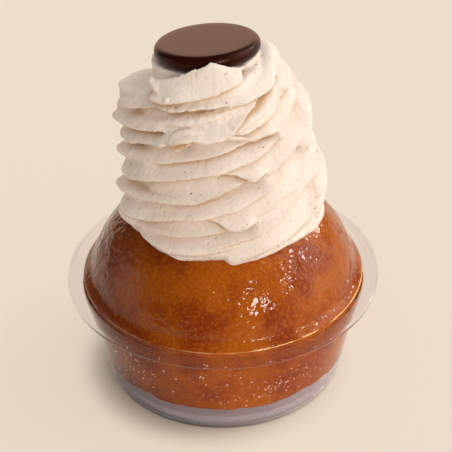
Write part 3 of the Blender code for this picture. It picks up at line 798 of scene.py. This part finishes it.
def smooth_radius(share):
    """Distance of the evened skin from the leaning axis, at a share of the climb."""
    return CREAM_RADIUS * (1 - share ** 3.4) ** 0.42 - 1.6


def press_creases(piece):
    """Even out the front, then press in the creases and let petals stand out over them."""
    points = mesh_points(piece)
    around, level, radius, share = untilted(points)
    smooth = smooth_radius(share)
    skin = ease(radius, smooth - 7.0, smooth - 3.0) * ease(level, 59.0, 63.0)
    skin *= (1 - ease(level, 99.0, 103.0)) * (1 - ease(radius, smooth + 1.8, smooth + 2.8))
    front = ease(around, *FRONT_FROM) * (1 - ease(around, *FRONT_TO))
    move = crease_pattern(around, level, radius)[0] + FRONT_EVEN * front * skin * (smooth - radius)
    outwards = numpy.stack([numpy.cos(numpy.radians(around)), numpy.sin(numpy.radians(around))], 1)
    points[:, :2] += outwards * move[:, None] * MM
    piece.data.vertices.foreach_set("co", points.ravel())
    print("pressed", len(CREASES), "creases, up to", round(float(-move.min()), 1), "mm deep")


def mark_creases(piece):
    """Keep for each point how deep in a crease it lies. The cream's finish paints shade there from this value."""
    around, level, radius, share = untilted(mesh_points(piece))
    # This value sets how much painted shade each point of a crease gets.
    layer = piece.data.attributes.new("crease", "FLOAT", "POINT")
    layer.data.foreach_set("value", crease_pattern(around, level, radius)[1])


# %% [markdown]
# ## A curled lip and a lump
# At the front of the third turn a torn edge has curled over into a thin roll, and one small ball
# of cream sticks to the swirl higher up. The roll is a grid wrapped round a line of points, each
# carried out to the skin. Adding it after the pressing keeps it crisp.

# %% The curled lip
LIP = ((-7.5, -26.2, 94.2, 0.4), (-9.9, -26.2, 92.9, 0.8), (-12.5, -25.7, 92.1, 1.0),
       (-13.5, -25.5, 93.4, 1.1), (-12.4, -25.7, 95.2, 1.2), (-9.7, -26.0, 96.2, 1.3),
       (-6.7, -26.5, 96.2, 1.2), (-2.2, -26.6, 95.8, 1.0), (2.5, -26.0, 95.2, 0.8),
       (8.6, -24.0, 93.9, 0.5))
LIP_PROUD = 0.8
LUMPS = ((-14.1, -20.3, 104.2, 1.0),)


def on_skin(place, proud):
    """Carry a point straight out from the leaning axis to stand a little proud of the skin."""
    around, level, radius, share = untilted(numpy.array([place]) * MM)
    out = float(smooth_radius(share[0]) + proud - radius[0])
    angle = math.radians(float(around[0]))
    return place + out * Vector((math.cos(angle), math.sin(angle), 0.0))


def lip_shape(steps=90, steps_round=20):
    """The curled lip of a torn ridge: a thin roll that bends back on itself at its left end."""
    shape = bmesh.new()
    bmesh.ops.create_grid(shape, x_segments=steps, y_segments=steps_round, size=0.5)
    middles, sizes = [point[:3] for point in LIP], [(point[3], 0, 0) for point in LIP]
    for vertex in shape.verts:
        share = vertex.co.x + 0.5
        angle = 2 * math.pi * (vertex.co.y + 0.5)
        middle, radius = smooth_line(middles, share), smooth_line(sizes, share).x
        middle = on_skin(middle, LIP_PROUD)
        along = smooth_line(middles, share + 0.01) - smooth_line(middles, share - 0.01)
        side = along.cross(Vector((0, -1, 0.3))).normalized()
        out = side.cross(along).normalized()
        vertex.co = (middle + radius * (math.cos(angle) * side + math.sin(angle) * out)) * MM
    bmesh.ops.remove_doubles(shape, verts=shape.verts, dist=0.000001)
    open_ends = [edge for edge in shape.edges if edge.is_boundary]
    bmesh.ops.holes_fill(shape, edges=open_ends, sides=0)
    for x, y, z, radius in LUMPS:
        bmesh.ops.create_icosphere(shape, subdivisions=3, radius=radius * MM,
                                   matrix=Matrix.Translation(Vector((x, y, z)) * MM))
    bmesh.ops.recalc_face_normals(shape, faces=shape.faces)
    return shape


# %% [markdown]
# ## The finished swirl
# Now the rope is piled, pressed and marked, and the lip is added with a Boolean union. Two Boolean cuts then take out the places where the
# bun and the disc sit. Each cutter is a little smaller or larger than its piece, so the cream just
# touches the bun and leaves a hair's gap round the disc.

# %% The finished swirl
cream = pile_cream()
press_creases(cream)
cut_away(cream, make_piece("lip", lip_shape()), "UNION")
drag_marks(cream)
cut_away(cream, make_piece("bun_seat", bun_shape(36, 60, 120, swell=-0.25)))
seat = turned(disc_outline(0.06)[:17] + [(DISC_RADIUS + 0.06, 14.0), (0.0, 14.0)], 144)
cut_away(cream, make_piece("disc_seat", lay_on_top(seat)))
cream.data.shade_smooth()
mark_creases(cream)
print("cream:", triangles(cream), "triangles")

# %% [markdown]
# ## The clear cup
# The cup is thin thermoformed plastic: a foot ring, a raised floor, a leaning wall and a wide flat
# rim. The outline goes down the outside and back up the inside, so spinning it gives a closed
# shell with a real wall, which is what makes it look clear rather than milky.

# %% The cup
def cup_outline():
    mouth, wall = CUP_MOUTH_RADIUS + 0.6 - CUP_WALL, CUP_WALL
    ring_out, under_rim = CUP_FOOT_RADIUS - 0.3, CUP_RIM_HEIGHT - CUP_WALL
    outside = [(0.0, CUP_FLOOR - wall), (16.0, CUP_FLOOR - wall), (30.6, CUP_FLOOR - wall),
               (31.6, CUP_FLOOR - wall - 0.15), (32.2, CUP_FLOOR - wall - 0.6), (33.4, 1.0),
               (33.7, 0.3), (34.1, 0.0), (ring_out - 0.3, 0.0), (ring_out, 0.1),
               (CUP_FOOT_RADIUS - 0.05, 0.5), (CUP_FOOT_RADIUS + 0.1, 1.0)]
    for ring in range(9):
        height = 2.0 + (under_rim - 3.0) * ring / 8
        outside.append((wall_radius(height) + wall, height))
    outside += [(mouth + wall + 0.08, under_rim - 0.4), (mouth + wall + 0.35, under_rim - 0.1),
                (mouth + wall + 0.8, under_rim), (RIM_RADIUS - 1.2, under_rim),
                (RIM_RADIUS - 0.75, under_rim - 0.1), (RIM_RADIUS - 0.55, under_rim - 0.4),
                (RIM_RADIUS - 0.5, CUP_RIM_HEIGHT - 1.2)]
    inside = [(RIM_RADIUS - 0.05, CUP_RIM_HEIGHT - 1.2), (RIM_RADIUS, CUP_RIM_HEIGHT - 0.5),
              (RIM_RADIUS - 0.15, CUP_RIM_HEIGHT - 0.12), (RIM_RADIUS - 0.6, CUP_RIM_HEIGHT),
              (mouth + 2.0, CUP_RIM_HEIGHT), (mouth + 1.5, CUP_RIM_HEIGHT + 0.12),
              (mouth + 1.1, CUP_RIM_HEIGHT + 0.33), (mouth + 0.6, CUP_RIM_HEIGHT + 0.35),
              (mouth + 0.15, CUP_RIM_HEIGHT + 0.1), (mouth, CUP_RIM_HEIGHT - 0.5)]
    for ring in range(9):
        height = under_rim - 1.0 + (2.0 - under_rim) * ring / 8
        inside.append((wall_radius(height), height))
    inside += [(CUP_FOOT_RADIUS - 0.65, 0.6), (CUP_FOOT_RADIUS - 1.0, 0.46), (34.5, 0.46),
               (34.1, 0.7), (33.8, 1.2), (32.6, CUP_FLOOR - 0.7), (32.2, CUP_FLOOR - 0.2),
               (31.5, CUP_FLOOR), (16.0, CUP_FLOOR), (0.0, CUP_FLOOR)]
    return outside + inside


CUP_STEPS = 180
SEAM_ANGLES = (240, 316, 60, 136)


def cup_shape():
    """Spin the outline, then raise a few faint moulding seams on the lowest part of the wall."""
    shape = turned(cup_outline(), CUP_STEPS)
    for vertex in shape.verts:
        place = vertex.co / MM
        angle = math.degrees(math.atan2(place.y, place.x)) % 360
        if place.xy.length > 34.5 and 0.4 < place.z < 12.0:
            seam = any(abs(angle - middle) < 0.5 * 360 / CUP_STEPS for middle in SEAM_ANGLES)
            vertex.co.xy *= 1 + seam * 0.16 / place.xy.length * (1 - place.z / 12.0)
    return shape


cup = make_piece("cup", cup_shape())
print("cup:", triangles(cup), "triangles")

# %% [markdown]
# ## Vanilla seeds and syrup
# Seeds are tiny dark grains that sit half in the cream. Between the bun and the wall the syrup
# holds small bubbles and beads. Both are hundreds of little icospheres joined into one mesh.

# %% Seeds and beads
SEEDS = 330


def scatter(shape, place, out, size, flat, subdivisions=1):
    """Add one small bead at a place, flattened along the direction out."""
    turn = Vector((0, 0, 1)).rotation_difference(out).to_matrix().to_4x4()
    matrix = Matrix.Translation(place) @ turn @ Matrix.Diagonal((size, size, size * flat, 1)).to_4x4()
    bmesh.ops.create_icosphere(shape, subdivisions=subdivisions, radius=1.0, matrix=matrix)


def sow_seeds():
    chance = random.Random(7)
    faces = [face for face in cream.data.polygons if face.center.z > 0.052 or face.normal.z > -0.2]
    weights = [face.area for face in faces]
    shape = bmesh.new()
    for face in chance.choices(faces, weights, k=SEEDS):
        size = chance.choice((0.10, 0.12, 0.14, 0.17, 0.22)) * MM
        scatter(shape, face.center, face.normal, size, chance.uniform(0.6, 1.0))
    return make_piece("vanilla_seeds", shape)


BEAD_PATCHES = ((226, 21.0, 7.0, 4.0, 70), (270, 19.0, 5.0, 6.0, 45), (291, 15.5, 5.0, 2.2, 40),
                (305, 17.5, 7.0, 3.0, 60), (322, 22.0, 4.0, 3.0, 25), (214, 14.0, 4.0, 5.0, 30))
LOOSE_BEADS = 190


def add_beads():
    """Bubbles and beads of syrup, pressed flat between the bun and the wall."""
    chance = random.Random(11)
    spots = [(chance.gauss(middle, spread), chance.gauss(height, rise))
             for middle, height, spread, rise, count in BEAD_PATCHES for _ in range(count)]
    spots += [(chance.uniform(0, 360), chance.uniform(8.5, 29.0)) for _ in range(LOOSE_BEADS)]
    shape = bmesh.new()
    for degrees, height in spots:
        height = min(max(height, 8.0), 29.0)
        around = math.radians(degrees)
        out = Vector((math.cos(around), math.sin(around), 0.0))
        place = (out * (wall_radius(height) + BUN_IN_WALL - 0.02) + Vector((0, 0, height))) * MM
        size = chance.choice((0.1, 0.13, 0.16, 0.2, 0.26, 0.38))
        scatter(shape, place, out, size * MM, 0.14 / size)
    return make_piece("syrup_beads", shape)


def syrup_ring():
    """Syrup that stands as a thin bright line in the narrow gap at the cup's mouth."""
    circle = [(CUP_MOUTH_RADIUS - 0.05 + 0.42 * math.cos(2 * math.pi * step / 10),
               CUP_RIM_HEIGHT + 0.32 + 0.50 * math.sin(2 * math.pi * step / 10)) for step in range(11)]
    shape = turned(circle, 200)
    for vertex in shape.verts:
        place = vertex.co / MM
        around = place.xy.normalized()
        level = 0.10 * noise.noise(Vector((around.x * 7.0, around.y * 7.0, 1.0)))
        vertex.co.z += (level + 0.05 * noise.noise(Vector((around.x * 40.0, around.y * 40.0, 5.0)))) * MM
    return make_piece("syrup_line", shape)


seeds = sow_seeds()
syrup = syrup_ring()
beads = add_beads()
print("seeds:", triangles(seeds), "triangles; beads:", triangles(beads), "triangles")

# %% [markdown]
# ## The finish of the cream
# Whipped cream is matt and lets light in a little way, so it gets some subsurface scattering. It is
# not white: a warm tint drifts over it and ground vanilla shows as tan grains. The creases get a
# painted shade, a darker golden tan that stands in for shade and light bouncing about inside them.
# Three bumps give a fine skin, drag marks and pits.

# %% Cream finish
def cream_finish():
    finish = Finish("vanilla_cream")
    tint = finish.range(finish.noise(9.0, detail=2.0), 0.35, 0.7)
    colour = finish.blend(tint, (0.81, 0.690, 0.590), (0.84, 0.730, 0.635))
    grains = finish.range(finish.cells(1.9), 0.03, 0.07, 1.0, 0.0)
    kept = finish.range(finish.noise(3.1, detail=0.0), 0.55, 0.6)
    colour = finish.blend(finish.math("MULTIPLY", grains, kept), colour, (0.42, 0.27, 0.16))
    # Painted shade: the creases are coloured a darker golden tan, read from the crease attribute.
    painted_crease_shade = finish.range(finish.attribute("crease"), 0.10, 1.05, 0.0, 1.0)
    colour = finish.blend(painted_crease_shade, colour, (0.60, 0.395, 0.215))
    relief = finish.bump(finish.noise(0.8, detail=5.0, rough=0.65), 0.14)
    dragged = finish.bump(finish.noise(0.45, place=finish.stretched(1.0, 1.0, 0.3)), 0.07, relief)
    pits = finish.range(finish.cells(1.4), 0.10, 0.22)
    finish.set(base_color=colour, roughness=0.55, subsurface_weight=0.08,
               subsurface_radius=(1.0, 0.6, 0.35), subsurface_scale=0.001,
               specular_ior_level=0.35, normal=finish.bump(pits, 0.10, dragged))
    return finish.material


# %% [markdown]
# ## The finish of the seeds
# Vanilla seeds run from black to dark brown. They are too small to show any grain, so one noise
# that changes from seed to seed is enough.

# %% Seed finish
def seed_finish():
    finish = Finish("vanilla_seed")
    dark = finish.range(finish.noise(2.5), 0.4, 0.6)
    finish.set(base_color=finish.blend(dark, (0.02, 0.013, 0.01), (0.11, 0.06, 0.035)), roughness=0.45)
    return finish.material


# %% [markdown]
# ## The finish of the soaked bun
# Crust under syrup has two layers: a rough, mottled brown crust, and a clear wet skin over it. The
# Principled shader has both, as its base and its coat, and each gets a bump of its own. The coat's
# bump has soft waves, so a window breaks up into many small sharp glints instead of one large one.
# Below the cup's mouth the bun presses on the plastic, so there the coat hardly shows.

# %% Bun finish
def bun_finish():
    finish = Finish("soaked_bun")
    broad = finish.range(finish.noise(13.0, detail=3.0), 0.35, 0.65)
    colour = finish.blend(broad, (0.188, 0.0245, 0.0003), (0.305, 0.064, 0.0009))
    mottle = finish.range(finish.noise(1.0, detail=4.0, rough=0.62), 0.47, 0.66)
    colour = finish.blend(finish.math("MULTIPLY", mottle, 0.36), colour, (0.47, 0.135, 0.003))
    spots = finish.range(finish.noise(0.75, detail=3.0, rough=0.55), 0.30, 0.44, 1.0, 0.0)
    colour = finish.blend(finish.math("MULTIPLY", spots, 0.45), colour, (0.16, 0.018, 0.001))
    # Painted shade: the bun's colour is darkened towards its left side, away from the light.
    left = finish.range(finish.height("X"), -34 * MM, 2 * MM, 0.63, 1.0)
    colour = finish.blend(1.0, colour, left, "MULTIPLY")
    relief = finish.noise(1.0, detail=5.0, rough=0.6)
    wet = finish.noise(1.5, detail=0.6, rough=0.4)
    skin = finish.bump(relief, 0.20)
    bare = finish.range(finish.height(), 31 * MM, 35 * MM, 0.3, 1.0)
    finish.set(base_color=colour, roughness=0.5, specular_ior_level=0.06, normal=skin,
               coat_weight=bare, coat_roughness=0.03, coat_ior=1.31,
               coat_normal=finish.bump(wet, 0.19))
    return finish.material


# %% [markdown]
# ## The finish of the chocolate
# Tempered dark chocolate is almost black with a satin face. Most of what the eye sees is the
# room's warm reflection, so its roughness and tinted specular matter more than its colour.

# %% Chocolate finish
def chocolate_finish():
    finish = Finish("dark_chocolate")
    bloom = finish.range(finish.noise(6.0, detail=4.0, rough=0.6), 0.35, 0.7)
    colour = finish.blend(bloom, (0.016, 0.0020, 0.0008), (0.020, 0.0030, 0.0012))
    relief = finish.noise(0.35, detail=3.0)
    finish.set(base_color=colour, roughness=0.29, specular_ior_level=0.21, specular_tint=(1.0, 0.48, 0.35),
               normal=finish.bump(relief, 0.015))
    return finish.material


# %% [markdown]
# ## The finish of the beads
# Air bubbles behind clear plastic flash almost white on one side. Here that flash is a painted
# highlight: a smooth pale colour, which costs far less to render than real bubbles in glass.

# %% Bead finish
def bead_finish():
    """Painted highlights: the beads are coloured as pale, slightly pink glints."""
    finish = Finish("syrup_bead_painted_glint")
    # Painted highlight: the glints vary from a dim brown to a pale pink from bead to bead.
    tint = finish.range(finish.noise(1.5, detail=1.0), 0.35, 0.65)
    colour = finish.blend(tint, (0.36, 0.14, 0.06), (0.80, 0.54, 0.40))
    finish.set(base_color=colour, roughness=0.25, specular_ior_level=0.6)
    return finish.material


# %% [markdown]
# ## The finish of the syrup line
# Syrup stands in the narrow gap at the mouth of the cup. Where the light comes through from the
# right it shines gold, and that light is painted: a blend along X takes the colour from brown at
# the left to gold at the right.

# %% Syrup finish
def syrup_finish():
    finish = Finish("golden_syrup")
    # Painted light: the syrup is coloured brighter gold towards the right, where the light comes through.
    right = finish.range(finish.height("X"), -20 * MM, 25 * MM)
    colour = finish.blend(right, (0.34, 0.14, 0.05), (0.85, 0.47, 0.13))
    relief = finish.noise(1.5, detail=2.0)
    finish.set(base_color=colour, roughness=0.12, ior=1.4, normal=finish.bump(relief, 0.1))
    return finish.material


# %% [markdown]
# ## The finish of the clear plastic
# Thin plastic bends light very little, so the index of refraction is kept low and a coat adds the
# shine. Shadow rays pass through as if it were tinted air, because a lamp can't be found through
# refraction. The foot of the cup is slightly milky, and its darker tint is painted shade for the
# shadowed space under the bun.

# %% Clear plastic finish
# The foot's tint is darker than the clear plastic: a milky share and painted shade under the bun.
MILKY_FOOT, MILKY_PAINTED_SHADE_TINT, MILKY_CLEAR = (4.6, 6.4), (0.75, 0.715, 0.755), 0.90


def clear_finish(name, colour, roughness, ior, relief_mm):
    """Clear plastic or syrup that also lets lamps shine through it."""
    finish = Finish(name)
    relief = finish.noise(7.0, detail=2.0)
    tint = finish.blend(finish.range(finish.noise(12.0), 0.3, 0.7), colour,
                        tuple(0.97 * part for part in colour))
    above_foot = finish.range(finish.height(), MILKY_FOOT[0] * MM, MILKY_FOOT[1] * MM)
    # Below the foot line the tint turns to the darker one, as painted shade.
    tint = finish.blend(above_foot, MILKY_PAINTED_SHADE_TINT, tint)
    clear = finish.range(above_foot, 0.0, 1.0, MILKY_CLEAR, 1.0)
    finish.set(base_color=tint, roughness=roughness, ior=ior, transmission_weight=clear,
               coat_weight=1.0, coat_ior=1.13, coat_roughness=0.03,
               normal=finish.bump(relief, relief_mm))
    rays = finish.nodes.new("ShaderNodeLightPath")
    through = finish.nodes.new("ShaderNodeBsdfTransparent")
    through.inputs["Color"].default_value = (*colour, 1.0)
    mixer = finish.nodes.new("ShaderNodeMixShader")
    finish.links.new(rays.outputs["Is Shadow Ray"], mixer.inputs["Fac"])
    finish.links.new(finish.shader.outputs["BSDF"], mixer.inputs[1])
    finish.links.new(through.outputs["BSDF"], mixer.inputs[2])
    finish.links.new(mixer.outputs["Shader"], finish.output.inputs["Surface"])
    return finish.material


# %% [markdown]
# ## Dressing the pieces
# Every piece gets its finish and rides on the one body of this part.
# The four fine pieces then take the place of the four plain solids.

# %% Dress the pieces
for piece, material in ((cream, cream_finish()), (seeds, seed_finish()), (bun, bun_finish()),
                        (disc, chocolate_finish()),
                        (cup, clear_finish("clear_plastic", (0.91, 0.885, 0.90), 0.04, 1.12, 0.05)),
                        (beads, bead_finish()), (syrup, syrup_finish())):
    piece.data.materials.clear()
    piece.data.materials.append(material)

for piece, slot in ((cream, "vanilla_cream"), (seeds, "vanilla_cream"), (bun, "soaked_bun"),
                    (beads, "soaked_bun"), (syrup, "soaked_bun"), (disc, "dark_chocolate"), (cup, "clear_plastic")):
    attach(piece, "root")
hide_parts("cream_swirl")
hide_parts("baba")
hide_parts("chocolate_disc")
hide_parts("plastic_cup")
print("pieces:", ", ".join(piece.name for piece in (cream, seeds, bun, beads, syrup, disc, cup)))

# %% [markdown]
# ## The floor
# The table is a pale paper sheet. Near the object it is plain and takes a shadow. Further off it
# glows softly, so that it keeps one even tone up to the edges of the picture.

# %% Floor
SHADOW_MIDDLE, SHADOW_REACH = (-0.003, -0.003), (0.032, 0.045)


def add_floor():
    shape = bmesh.new()
    bmesh.ops.create_grid(shape, x_segments=1, y_segments=1, size=3.0)
    floor = make_piece("floor", shape)
    finish = Finish("pale_floor")
    tint = finish.range(finish.noise(60.0, detail=2.0), 0.3, 0.7)
    lit = finish.blend(tint, (0.812, 0.685, 0.560), (0.818, 0.691, 0.565))
    far_off = finish.blend(tint, (0.160, 0.138, 0.113), (0.162, 0.140, 0.114))
    away = finish.range(finish.far_from(*SHADOW_MIDDLE), *SHADOW_REACH)
    finish.set(base_color=finish.blend(away, lit, far_off), roughness=0.8, specular_ior_level=0.2,
               emission_color=(0.847, 0.730, 0.597),
               emission_strength=finish.math("MULTIPLY", away, 0.8))
    floor.data.materials.append(finish.material)
    return floor


floor = add_floor()

# %% [markdown]
# ## Light
# One broad sun from the right gives the cream its form, and a second one with the same direction
# draws only the shadow on the floor. Small bright suns stand for window panes, and light linking
# lets all but the first reach only glossy pieces. The world lights evenly, while gloss sees a dark
# room with bright walls at its sides, because even light would wash its colour out.

# %% Lights
def add_sun(name, towards, strength, spread_degrees, colour=(1.0, 1.0, 1.0)):
    """A soft sun that shines from the direction towards."""
    lamp = bpy.data.lights.new(name, "SUN")
    lamp.energy, lamp.angle, lamp.color = strength, math.radians(spread_degrees), colour
    thing = bpy.data.objects.new(name, lamp)
    thing.rotation_euler = Vector(towards).to_track_quat("Z", "Y").to_euler()
    bpy.context.scene.collection.objects.link(thing)
    return thing


def group(name, pieces):
    things = bpy.data.collections.new(name)
    for piece in pieces:
        things.objects.link(piece)
    return things


KEY = (0.74, 0.16, 0.62)
key = add_sun("key", KEY, 1.06, 50.0, (1.0, 0.97, 0.93))
baba = group("baba", (cream, seeds, bun, beads, syrup, disc, cup))
key.light_linking.receiver_collection = baba
floor_key = add_sun("floor_key", KEY, 1.5, 50.0, (1.0, 0.97, 0.93))
floor_key.light_linking.receiver_collection = group("table", (floor,))
floor_key.light_linking.blocker_collection = group("low_pieces", (bun, cup))
glossy = group("glossy", (bun, beads, syrup, disc, cup))
WINDOWS = (((0.46, -0.80, 0.38), 0.95, 10.0), ((0.62, -0.72, 0.32), 0.18, 5.0),
           ((0.36, -0.90, 0.22), 0.14, 5.0), ((0.44, -0.70, 0.56), 0.14, 4.5),
           ((0.80, -0.36, 0.46), 0.20, 5.0), ((0.80, 0.03, 0.58), 0.20, 5.0),
           ((0.75, 0.53, 0.36), 0.35, 8.0), ((0.0, -0.76, 0.65), 0.05, 2.5))
for number, (towards, strength, spread) in enumerate(WINDOWS):
    window = add_sun(f"window_{number}", towards, strength, spread, (1.0, 0.93, 0.88))
    window.light_linking.receiver_collection = baba if number == 0 else glossy


# %% The room
def studio_world():
    """Even light from all round, warmer and brighter from the right. Gloss sees a darker room."""
    world = bpy.data.worlds.new("studio")
    world.use_nodes = True
    nodes, links = world.node_tree.nodes, world.node_tree.links
    even = nodes["Background"]
    even.inputs["Color"].default_value = (1.0, 0.985, 0.97, 1.0)
    room = nodes.new("ShaderNodeBackground")
    axes = nodes.new("ShaderNodeSeparateXYZ")
    links.new(nodes.new("ShaderNodeTexCoord").outputs["Generated"], axes.inputs["Vector"])

    def step(value, low, high, to_low, to_high):
        node = nodes.new("ShaderNodeMapRange")
        node.interpolation_type = "SMOOTHSTEP"
        links.new(value, node.inputs["Value"])
        for name, number in zip(("From Min", "From Max", "To Min", "To Max"),
                                (low, high, to_low, to_high)):
            node.inputs[name].default_value = number
        return node.outputs["Result"]

    def math_node(operation, first, second=1.0):
        node = nodes.new("ShaderNodeMath")
        node.operation = operation
        links.new(first, node.inputs[0])
        if isinstance(second, float):
            node.inputs[1].default_value = second
        else:
            links.new(second, node.inputs[1])
        return node.outputs["Value"]

    links.new(step(axes.outputs["X"], -1.0, 1.0, 0.45, 0.98), even.inputs["Strength"])
    left = math_node("MULTIPLY", axes.outputs["X"], -0.78)
    sides = math_node("MAXIMUM", left, math_node("MULTIPLY", axes.outputs["X"], 0.87))
    around = step(math_node("MAXIMUM", axes.outputs["Y"], sides), 0.64, 0.90, 0.01, 1.9)
    wall = nodes.new("ShaderNodeMix")
    wall.data_type = "RGBA"
    links.new(step(axes.outputs["Y"], 0.2, 0.7, 0.0, 1.0), wall.inputs[0])
    wall.inputs[6].default_value = (1.0, 0.90, 0.80, 1.0)
    wall.inputs[7].default_value = (1.0, 0.64, 0.47, 1.0)
    links.new(wall.outputs[2], room.inputs["Color"])
    low = step(axes.outputs["Z"], 0.35, 0.55, 1.0, 0.06)
    links.new(math_node("MULTIPLY", around, low), room.inputs["Strength"])
    rays = nodes.new("ShaderNodeLightPath")
    mixer = nodes.new("ShaderNodeMixShader")
    mirrored = math_node("GREATER_THAN", rays.outputs["Is Glossy Ray"], rays.outputs["Is Transmission Ray"])
    links.new(mirrored, mixer.inputs["Fac"])
    links.new(even.outputs["Background"], mixer.inputs[1])
    links.new(room.outputs["Background"], mixer.inputs[2])
    links.new(mixer.outputs["Shader"], nodes["World Output"].inputs["Surface"])
    return world


bpy.context.scene.world = studio_world()
bpy.context.scene.view_settings.view_transform = "Standard"
